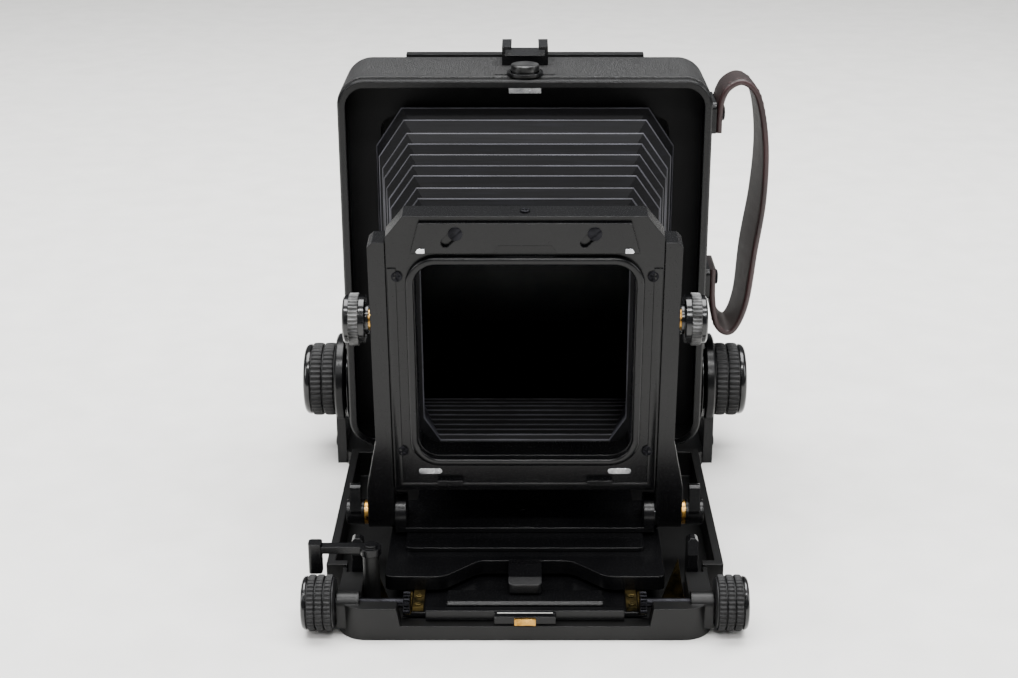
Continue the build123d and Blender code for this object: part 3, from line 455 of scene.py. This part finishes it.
def bellows():
    """Pleated tube in six lengths, one for each joint; neighbours share their end ring.

    A length is its rings from end to end outside, then back again one skin thickness further in.
    """
    for number, (behind, ahead, pleats) in enumerate(SPANS):
        count = np.append((np.arange(pleats)[:, None] + PLEAT_ROWS).ravel(), pleats)
        rows = len(count)
        travel = SHARES[number] + count / PLEATS
        crease, fold = pleat_folds(travel, count)
        outer = np.stack([bellows_ring(t, PLEAT_DEPTH * f) for t, f in zip(travel, fold)])
        inner = np.stack([bellows_ring(t, PLEAT_DEPTH * f + SKIN) for t, f in zip(travel, fold)])
        grid = np.concatenate([outer, inner[::-1]])
        faces = lattice(len(grid), grid.shape[1], wrap_rows=True)
        # painted highlight and real wear: faces along the outer ridges and the inner valleys take the
        # lighter ridge cloth
        ridge_wear_and_highlight = np.zeros(len(grid), bool)
        ridge_wear_and_highlight[: rows - 1] = np.maximum(crease[:-1], crease[1:]) < WEAR_AND_HIGHLIGHT_RIDGE
        ridge_wear_and_highlight[rows:-1] = np.minimum(crease[:-1], crease[1:])[::-1] > WEAR_AND_HIGHLIGHT_VALLEY
        piece = solid(f"bellows_length_{number + 1}", grid.reshape(-1, 3), faces, None, bellows_cloth,
                      ["bellows"], 20, worn_highlit_ridge_cloth, np.repeat(ridge_wear_and_highlight, grid.shape[1]))
        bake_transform(piece)


# ---------------------------------------------------------------- knobs
def ribbed(count, depth_mm, rows, sharpness):
    """Rib height: half the depth times cos(count * v), squared off by a root, on the given rows only."""

    def height(row, v):
        wave = np.cos(count * v)
        squared = np.sign(wave) * np.abs(wave) ** (1 / sharpness)
        return np.where(np.isin(row, rows), depth_mm * MM * 0.5 * squared, 0.0)

    return height


def knob_profile(radius, length, bands, groove, flange):
    """Half section of a knob from its inner to its outer face, and which rows lie in the ribbed bands.

    A thin lip, then bands of ribs parted by grooves, then a smooth flange with a rolled edge.
    """
    lip = 0.9
    rows = [(0, radius * 0.5), (0, radius - 1.6), (0.35, radius - 1.05), (lip - 0.1, radius - 0.95)]
    ribbed_rows = []
    width = (length - lip - flange - groove * bands) / bands
    at = lip
    for _ in range(bands):
        rows.append((at + 0.01, radius - 1.3))
        for share, drop in ((0.06, 0.28), (0.3, 0.03), (0.7, 0.03), (0.94, 0.28)):
            ribbed_rows.append(len(rows))
            rows.append((at + width * share, radius - drop))
        rows.append((at + width - 0.01, radius - 1.3))
        at += width + groove
    first_smooth = len(rows)
    rows += [(at, radius - 1.25), (at + 0.05, radius - 0.5), (at + 0.25, radius - 0.3)]
    turn = np.linspace(0, math.pi / 2, 7)
    roll = min(flange * 0.75, 2.4)
    rows += [(length - roll + roll * math.sin(t), radius - roll - 0.3 + roll * math.cos(t)) for t in turn]
    rows += [(length, radius * 0.66), (length - 0.5, radius * 0.62)]
    rows += [(length - 0.7, radius * 0.3), (length - 0.7, 0.4)]
    return np.array(rows) * MM, ribbed_rows, first_smooth


def knob(name, node, body, side, bands, flange, ribs, depth, around):
    """Rubber grip and polished flange filling the space of their CAD node.

    knob_profile revolved about X, with the rib wave added to the radius in the bands.
    """
    low, high = node_box(node)
    length = (high[0] - low[0]) / MM
    radius = (high[2] - low[2]) / 2 / MM
    rows, ribbed_rows, first_smooth = knob_profile(radius - depth / 2, length, bands, 0.4, flange)
    centre = (low[0] if side > 0 else high[0], (low[1] + high[1]) / 2, (low[2] + high[2]) / 2)
    grid = turned(centre, (side, 0, 0), rows, around, ribbed(ribs, depth, ribbed_rows, 1.5))
    points, faces = capped(grid)
    smooth = np.repeat(np.arange(len(rows) - 1) >= first_smooth, around)
    in_second = np.concatenate([smooth, [False, True]])
    solid(name, points, faces, body, rubber, [node], 40, polished, in_second)


def knobs():
    """Grips of the tilt knobs and of the focus knobs."""
    for side, word in SIDES:
        knob(f"tilt_grip_{word}", f"tilt_knob_{word}", f"tilt_knob_{word}", side,
             bands=2, flange=3.2, ribs=44, depth=0.7, around=528)
        knob(f"focus_grip_{word}", f"focus_knob_{word}", f"focus_drive_{word}", side,
             bands=3, flange=2.0, ribs=38, depth=0.6, around=456)


def rise_knobs():
    """Fine straight knurl between two smooth collars on a plain shaft: a profile revolved about X."""
    low, high = node_box("rise_knob_right")
    centre_y, centre_z = (low[1] + high[1]) / 2, (low[2] + high[2]) / 2
    inner, radius = high[0] / MM - 9.0, (high[2] - low[2]) / 2 / MM
    shaft = [(-9.0, 1.95), (-1.2, 1.95), (-1.2, 6.2), (0, 6.2)]
    collar = [(0, radius - 1.7), (0.5, radius - 0.9), (2.6, radius - 0.9)]
    knurl = [(2.7, radius - 0.5), (2.95, radius - 0.3), (6.4, radius - 0.3), (6.65, radius - 0.5)]
    cap = [(6.75, radius - 0.9), (8.3, radius - 0.9), (9.0, radius - 1.7), (9.0, radius - 3.4)]
    dish = [(8.5, radius - 3.8), (8.5, 0.5)]
    rows = np.array(shaft + collar + knurl + cap + dish)
    first = len(shaft + collar)
    for side, word in SIDES:
        grid = turned((side * inner * MM, centre_y, centre_z), (side, 0, 0), rows * MM, 320,
                      ribbed(40, 0.6, [first + 1, first + 2], 1.4))
        points, faces = capped(grid)
        on_knurl = np.repeat(np.isin(np.arange(len(rows) - 1), [first, first + 1, first + 2]), 320)
        solid(f"rise_grip_{word}", points, faces, f"rise_knob_{word}", polished, [f"rise_knob_{word}"],
              35, anodised, np.concatenate([on_knurl, [False, False]]))


# ---------------------------------------------------------------- screws
CORNER_SCREW_X, CORNER_SCREW_H = 50.7, (33.8, 113.5)
SLIDE_SCREW_X, SLIDE_SCREW_H = 27.2, 132.4


def screw_head(centre, axis, radius, height, slots, turn):
    """Domed head revolved about its axis, with a driver recess of one slot or of two that cross.

    A point at x, y on the head sinks by the recess's depth where abs(y * cos(turn) - x * sin(turn)) is under
    the slot's half width.
    """
    share = np.array([1.0, 1.0, 0.97, 0.9, 0.78, 0.62, 0.45, 0.3, 0.15, 0.02])
    lift = np.array([0.0, 0.55, 0.75, 0.88, 0.95, 0.98, 1.0, 1.0, 1.0, 1.0]) * height
    grid = turned(centre, axis, np.stack([lift, share * radius], 1), 48)
    unit = np.array(axis, float) / np.linalg.norm(axis)
    a, b = frame_of(unit)
    flat = grid - np.array(centre)
    x, y = flat @ a, flat @ b
    reach = 2.0 if slots == 1 else 0.62
    sunk = np.zeros(x.shape, bool)
    for k in range(slots):
        angle = turn + k * math.pi / 2
        away = np.abs(-np.sin(angle) * x + np.cos(angle) * y)
        along = np.abs(np.cos(angle) * x + np.sin(angle) * y)
        sunk |= (away < 0.17 * radius) & (along < reach * radius)
    sunk[0] = False
    depth = min(0.45 * height, 0.5 * MM)
    return capped(grid - np.where(sunk, depth, 0)[..., None] * unit)


def set_of_screws(name, heads, body, finish, node):
    points, faces = merged(heads)
    solid(name, points, faces, body, finish, [node])


def screws():
    """Every screw head, one piece for each set; each set stands where its CAD node does."""
    heads = []
    for side, _ in SIDES:
        for k, h in enumerate(CORNER_SCREW_H):
            place = on_standard(side * CORNER_SCREW_X, h, FRAME_FACE)
            heads.append(screw_head(place, OUT, 2.3 * MM, 0.8 * MM, 2, 0.5 + k + side))
    heads.append(screw_head(on_standard(0, 138.9, 0), UP, 2.0 * MM, 0.9 * MM, 2, 0.3))
    set_of_screws("frame_cross_screws", heads, "lens_frame", blacked, "frame_screws")

    heads = []
    for side, _ in SIDES:
        foot = on_standard(side * SLIDE_SCREW_X, SLIDE_SCREW_H, FRAME_FACE)
        heads.append(screw_head(foot + 1.75 * MM * OUT, OUT, 2.9 * MM, 0.5 * MM, 1, 0.7))
        heads.append(capped(turned(foot, OUT, np.array([(0, 1.4), (2.0, 1.4)]) * MM, 24)))
    set_of_screws("slide_guide_screws", heads, "lens_frame", blacked, "slide_screws")

    low, high = node_box("strap_screws")
    middle, radius = (low[1] + high[1]) / 2, (high[1] - low[1]) / 2
    heads = []
    for z in (low[2] + radius, high[2] - radius):
        heads.append(screw_head((low[0], middle, z), (1, 0, 0), radius, high[0] - low[0], 1, 0.9))
    set_of_screws("strap_lug_screws", heads, "rear_box", blacked, "strap_screws")

    low, high = node_box("arm_screws")
    heads = []
    for side, _ in SIDES:
        for y in (-0.011, 0.011):
            place = (side * (high[0] - 1.1 * MM), y, (low[2] + high[2]) / 2)
            heads.append(screw_head(place, (side, 0, 0), 2.6 * MM, 1.1 * MM, 2, y * 90))
    set_of_screws("arm_cross_screws", heads, "bed", blacked, "arm_screws")

    low, high = node_box("rail_screws")
    radius = 1.5 * MM
    heads = []
    for x in (low[0] + radius, high[0] - radius):
        for y in (low[1] + radius, high[1] - radius):
            heads.append(screw_head((x, y, low[2]), (0, 0, 1), radius, 0.6 * MM, 1, 0.4 + x * 30))
    set_of_screws("rail_slot_screws", heads, "focus_rail", old_brass, "rail_screws")


# ---------------------------------------------------------------- trim carried round the lens frame
def rounded_square(half, corner, across=14):
    """Closed outline of a square with round corners, and the outward direction at each point.

    A point is its corner's centre + corner radius * (cos v, sin v).
    """
    angle = np.radians(np.concatenate([np.linspace(q, q + 90, across) for q in (0, 90, 180, 270)]))
    quadrant = np.repeat(np.arange(4), across)
    centre = (half - corner) * np.array([(1, 1), (-1, 1), (-1, -1), (1, -1)])[quadrant]
    out = np.stack([np.cos(angle), np.sin(angle)], 1)
    return centre + corner * out, out


def seal():
    """Light trap, a half-round bead and a step: path(v) + section x * outward, raised by section y."""
    path, out = rounded_square(46.0, 11.0)
    bead = [(-1.75, 0.0), (-1.75, 1.9), (-1.45, 2.35), (-0.9, 2.6)]
    step = [(0.6, 2.6), (1.1, 2.35), (1.4, 1.9), (1.5, 0.0)]
    section = np.array(bead + step)
    grid = path[None] + section[:, 0][:, None, None] * out[None]
    points = on_standard(grid[..., 0], 74.9 + grid[..., 1], FRAME_FACE + section[:, 1][:, None])
    faces = lattice(len(section), len(path), wrap_rows=True)
    solid("light_trap_ring", points.reshape(-1, 3), faces, "lens_frame", enamel, ["seal_ring"],
          sharp=50)


def frame_border():
    """Low raised border along both sides and the foot of the lens frame.

    A section carried along a line: path + section x * mitre, raised by section y.
    """
    path = np.array([(-52.6, 117.0), (-52.6, 16.6), (52.6, 16.6), (52.6, 117.0)])
    mitre = np.array([(1, 0), (1, 1), (-1, 1), (-1, 0)], float)
    section = np.array([(-1.9, -0.2), (-1.9, 0.35), (-1.5, 0.6), (1.1, 0.6), (1.6, 0.35), (1.6, -0.2)])
    flat = path[:, None] + section[None, :, 0, None] * mitre[:, None]
    raised = FRAME_FACE + np.broadcast_to(section[:, 1], flat.shape[:2])
    points, faces = capped(on_standard(flat[..., 0], flat[..., 1], raised))
    solid("lens_frame_border", points, faces, "lens_frame", enamel, ())


# ---------------------------------------------------------------- strap
def strap_route():
    """Path of the hanging strap in the XZ plane, in millimetres.

    A Catmull-Rom curve through given points: each run is a cubic in t that passes through its two ends
    with the slope of the line between their neighbours.
    """
    low, high = node_box("strap_screws")
    radius = (high[1] - low[1]) / 2
    bottom, top = (low[2] + radius) / MM, (high[2] - radius) / MM
    x = low[0] / MM - 1.65
    points = np.array(
        [
            (x, top - 7),
            (x, top),
            (x + 0.8, top + 8),
            (x + 4.0, top + 14),
            (x + 10.5, top + 16.2),
            (x + 17.0, top + 9),
            (x + 20.6, top - 12),
            (x + 20.2, top - 38),
            (x + 17.0, bottom + 16),
            (x + 14.5, bottom - 10),
            (x + 9.5, bottom - 23),
            (x + 3.6, bottom - 21),
            (x + 0.7, bottom - 10),
            (x, bottom),
            (x, bottom + 7),
        ]
    )
    ends = np.concatenate([[2 * points[0] - points[1]], points, [2 * points[-1] - points[-2]]])
    t = np.linspace(0, 1, 14, endpoint=False)[:, None]
    runs = []
    for a, b, c, d in zip(ends, ends[1:], ends[2:], ends[3:]):
        bend, twist = 2 * a - 5 * b + 4 * c - d, 3 * b - a - 3 * c + d
        runs.append(0.5 * (2 * b + (c - a) * t + bend * t**2 + twist * t**3))
    return np.concatenate(runs + [points[-1:]])


def even_steps(route, count):
    """The route at count evenly spaced places, with its unit direction there and its whole length."""
    length = np.concatenate([[0], np.cumsum(np.linalg.norm(np.diff(route, axis=0), axis=1))])
    at = np.linspace(0, length[-1], count)
    even = np.stack([np.interp(at, length, route[:, k]) for k in (0, 1)], 1)
    ahead = np.gradient(even, axis=0)
    return even, ahead / np.linalg.norm(ahead, axis=1)[:, None], length[-1]


STRAP_W = 22.0
STRAP_STEPS = 220
STRAP_TWIST = 0.17 * np.sin(math.pi * np.linspace(0, 1, STRAP_STEPS) ** 1.25) ** 2  # slope across the width
STRAP_SWAY = 1.5 * np.sin(np.linspace(0, math.pi, STRAP_STEPS))  # towards the subject, in millimetres
STITCH_PITCH = 3.2
STITCH_ROW = STRAP_W / 2 - 2.4


def on_strap(even, ahead, off, across, y):
    """path(u) + normal(u) * (off - twist(u) * across) in the XZ plane, and y - sway(u) along Y."""
    side = np.stack([-ahead[:, 1], ahead[:, 0]], 1)
    flat = even[:, None] + side[:, None] * (off - STRAP_TWIST[:, None] * across)[..., None]
    y = y - STRAP_SWAY[:, None]
    return np.stack([flat[..., 0], np.broadcast_to(y, flat.shape[:2]), flat[..., 1]], 2) * MM


def strap_band(even, ahead, offset, thick, width, swell):
    """Band along the path, a rounded flat section swept by on_strap.

    Its thickness is thick * puff(s) + swell * (1 - s**2), with a small wave along it for the creases.
    """
    corner = np.array([0, 0.3, 0.7, 1.0])
    across = np.concatenate([-1 + 0.05 * corner, np.linspace(-0.9, 0.9, 9), 1 - 0.05 * corner[::-1]])
    puff = 1 - np.clip((np.abs(across) - 0.93) / 0.07, 0, 1) ** 2
    upper = thick / 2 * puff + swell * (1 - across**2)
    lower = -thick / 2 * puff
    s = np.concatenate([across, across[::-1]])[None]
    h = np.concatenate([upper, lower[::-1]])[None]
    wrinkle = 0.05 * np.sin(np.arange(len(even)) * 0.9)[:, None] * (1 - s**2)
    return capped(on_strap(even, ahead, h + offset + wrinkle, s * width / 2, s * width / 2))


def strap():
    """Two plies of leather with burnished round edges between them, and stitching on the outer ply."""
    even, ahead, length = even_steps(strap_route(), STRAP_STEPS)
    edges = []
    v = np.linspace(0, 2 * math.pi, 12, endpoint=False)[None]
    for side, _ in SIDES:
        y = side * (STRAP_W / 2 - 0.35) + 0.6 * np.sin(v)
        edges.append(capped(on_strap(even, ahead, 1.25 * np.cos(v), side * STRAP_W / 2, y)))
    for name, (points, faces), finish in (
        ("strap_outer_leather", strap_band(even, ahead, 0.75, 1.5, STRAP_W, 0.35), strap_leather),
        ("strap_lining", strap_band(even, ahead, -0.7, 1.3, STRAP_W - 0.4, -0.1), strap_lining),
        ("strap_burnished_edges", merged(edges), strap_edge),
        ("strap_stitching", stitches(even, ahead, length), stitch_thread),
    ):
        solid(name, points, faces, "rear_box", finish, ["strap"], sharp=60)


def stitches(even, ahead, length):
    """Two rows of short thread loops on the outer ply, one each stitch pitch.

    A loop is a line along the path that rises by 1 - u**2, with a ring about it of radius sqrt(1.05 - u**2).
    """
    side = np.stack([-ahead[:, 1], ahead[:, 0]], 1)
    at = np.arange(14, length - 14, STITCH_PITCH) / length * (len(even) - 1)
    u = np.linspace(-1, 1, 7)
    v = np.linspace(0, 2 * math.pi, 6, endpoint=False)
    ring = 0.22 * np.sqrt(np.clip(1.05 - u**2, 0.02, 1))
    parts = []
    for row, _ in SIDES:
        for k in at.astype(int):
            rise = 1.5 + 0.14 * (1 - u**2) - STRAP_TWIST[k] * row * STITCH_ROW
            centre = even[k] + ahead[k] * (u * STITCH_PITCH * 0.38)[:, None] + side[k] * rise[:, None]
            flat = centre[:, None] + side[k] * (ring[:, None] * np.cos(v))[..., None]
            y = row * STITCH_ROW + ring[:, None] * np.sin(v) - STRAP_SWAY[k]
            parts.append(capped(np.stack([flat[..., 0], y, flat[..., 1]], 2) * MM))
    return merged(parts)


# ---------------------------------------------------------------- box covering
def box_covering():
    """Leathercloth glued round the box, up one side, over the top and down the other.

    A flat section carried along the path: path + section height * outward. Round the release button the
    height drops into a shallow cup.
    """
    low, high = (corner / MM for corner in node_box("box_shell"))
    half, top, corner = high[0], high[2], 12.5
    turn = np.linspace(0, math.pi / 2, 15)
    right = np.stack([half - corner + corner * np.cos(turn), top - corner + corner * np.sin(turn)], 1)
    out = np.stack([np.cos(turn), np.sin(turn)], 1)
    rise = np.linspace(low[2] + 46, top - corner, 10, endpoint=False)
    right = np.concatenate([np.stack([np.full(10, half), rise], 1), right])
    out = np.concatenate([np.tile([1.0, 0.0], (10, 1)), out])
    over = np.concatenate([np.linspace(60, 14, 4), np.linspace(7, -7, 29), np.linspace(-14, -60, 4)])
    over_top = np.stack([over, np.full(len(over), top)], 1)
    path = np.concatenate([right, over_top, right[::-1] * [-1, 1]])
    out = np.concatenate([out, np.tile([0.0, 1.0], (len(over), 1)), out[::-1] * [-1, 1]])
    front, back = low[1] + 2.6, high[1] - 1.2
    section = np.array([(front, -0.05), (front, 0.3), (front + 0.35, 0.55)]
                       + [(y, 0.6) for y in np.linspace(front + 0.7, -8, 26)]
                       + [(y, 0.6) for y in np.linspace(-4, back - 1, 6)]
                       + [(back - 0.35, 0.55), (back, 0.3), (back, -0.05)])
    button = sum(node_box("release_button")) / 2 / MM
    cup_radius, cup_depth, cloth = 7.1, 2.2, 0.15
    away = np.hypot(path[:, None, 0] - button[0], section[None, :, 0] - button[1])
    cup = (away < cup_radius) & (path[:, None, 1] > top - 1)
    height = np.where(cup, -cup_depth, section[None, :, 1])
    under = (np.abs(path[:, 0] - button[0]) < cup_radius) & (path[:, 1] > top - 1)
    height[under, 0] = height[under, -1] = -cup_depth - cloth
    flat = path[:, None] + height[..., None] * out[:, None]
    grid = np.stack([flat[..., 0], np.broadcast_to(section[:, 0], flat.shape[:2]), flat[..., 1]], 2) * MM
    points, faces = capped(grid)
    solid("box_covering", points, faces, "rear_box", leathercloth, ["leather_panels"],
          sharp=60)


# ---------------------------------------------------------------- small trim
def lock_end_plates():
    """Bright guide plates at the ends of the board lock: an outline in two planes, joined by its sides."""
    outline = np.array([(-1.7, -1.0), (1.2, -1.0), (1.8, -0.3), (0.9, 1.0), (-1.7, 1.0)])
    plates = []
    for side, _ in SIDES:
        x, h = side * (41.0 + outline[:, 0]), 125.3 + outline[:, 1]
        if side > 0:
            x, h = x[::-1], h[::-1]
        plates.append(capped(np.stack([on_standard(x, h, 7.0), on_standard(x, h, 7.95)])))
    points, faces = merged(plates)
    solid("lock_end_plates", points, faces, "board_lock_slide", nickel, ())


def index_line():
    """White line on the rail's cross bar: one outline in two planes, just below and above the bar's top."""
    low, high = node_box("rail_cross_bar")
    y, z = low[1] + 1.2 * MM, high[2]
    line = np.array([(-11, -0.16), (11, -0.16), (11, 0.16), (-11, 0.16)]) * MM
    below, above = z - 0.00005, z + 0.00006
    planes = [np.stack([line[:, 0], y + line[:, 1], np.full(4, level)], 1) for level in (below, above)]
    points, faces = capped(np.stack(planes))
    solid("index_line", points, faces, "focus_rail", white_fill, ())


def tilt_hubs():
    """Polished hubs behind the tilt knobs: a stepped profile revolved about X."""
    hub = np.array([(0, 18.5), (0.5, 19.2), (0.9, 19.2), (1.0, 15.0), (1.7, 14.6)]) * MM
    for side, word in SIDES:
        points, faces = capped(turned((side * 0.08485, 0, 0.037), (side, 0, 0), hub, 72))
        solid(f"tilt_hub_{word}", points, faces, "bed", polished, ())


# ---------------------------------------------------------------- finishes of the CAD nodes
FINISHES = {
    enamel: """lens_frame uprights swing_yoke shift_plate focus_rail rail_front_plate rail_cross_bar
        board_lock_slide board_lips carriage carriage_tongue bed_lock_left bed_lock_right focus_lock_lever
        front_rim strap_bar accessory_shoe button_collar tilt_lever_left tilt_lever_right side_arms""",
    texture_enamel: "base_plate bed_tray box_shell back_plate glass_frame hood_lid",
    inside_black: "bellows_rear_frame",
    blacked: "tilt_studs spring_arms pinion_left pinion_right",
    nickel: "tripod_bush hinge_pins tilt_pins bed_latch slot_pads",
    anodised: "release_button",
    brass: "brass_washers rail_stop",
    old_brass: "brass_gussets guide_strips focus_racks",
    etched: "ground_glass",
}


def finish_cad():
    """Each CAD node that is kept takes its finish."""
    for finish, names in FINISHES.items():
        for name in names.split():
            data = nodes[name].data
            data.materials.clear()
            data.materials.append(finish)


# ---------------------------------------------------------------- floor and light
def stage():
    """Pale table top and soft light from large panels above and in front."""
    pale = coated("pale_table_paper", "#dcdbd8", "#e4e3e0", 0.8, 0.8, 0.02)
    size = 6.0
    points = np.array([(-size, -size, 0), (size, -size, 0), (size, size, 0), (-size, size, 0)], float)
    floor = solid("table_top", points, [[0, 1, 2, 3]], None, pale)
    world = bpy.data.worlds.new("studio")
    bpy.context.scene.world = world
    world.use_nodes = True
    surround = world.node_tree.nodes["Background"]
    surround.inputs["Color"].default_value = srgb("#e9ebee")
    surround.inputs["Strength"].default_value = 0.3
    area_light("panel_above", (0.0, 0.25, 1.5), (0, -0.05, 0.0), (2.2, 1.0), 85)
    area_light("panel_front", (0.1, -1.7, 1.5), (0, -0.1, 0.05), (0.4, 0.25), 12)
    area_light("strip_high", (0.0, -0.85, 1.6), (0, -0.1, 0.08), (1.5, 0.12), 26)
    area_light("panel_left", (-1.4, -0.6, 0.9), (0, -0.1, 0.1), (0.5, 0.9), 12)
    area_light("panel_right", (1.4, -0.4, 0.8), (0, -0.1, 0.1), (0.5, 0.9), 10)


camera()
stage()
finish_cad()
bellows()
knobs()
rise_knobs()
screws()
seal()
frame_border()
strap()
box_covering()
lock_end_plates()
index_line()
tilt_hubs()
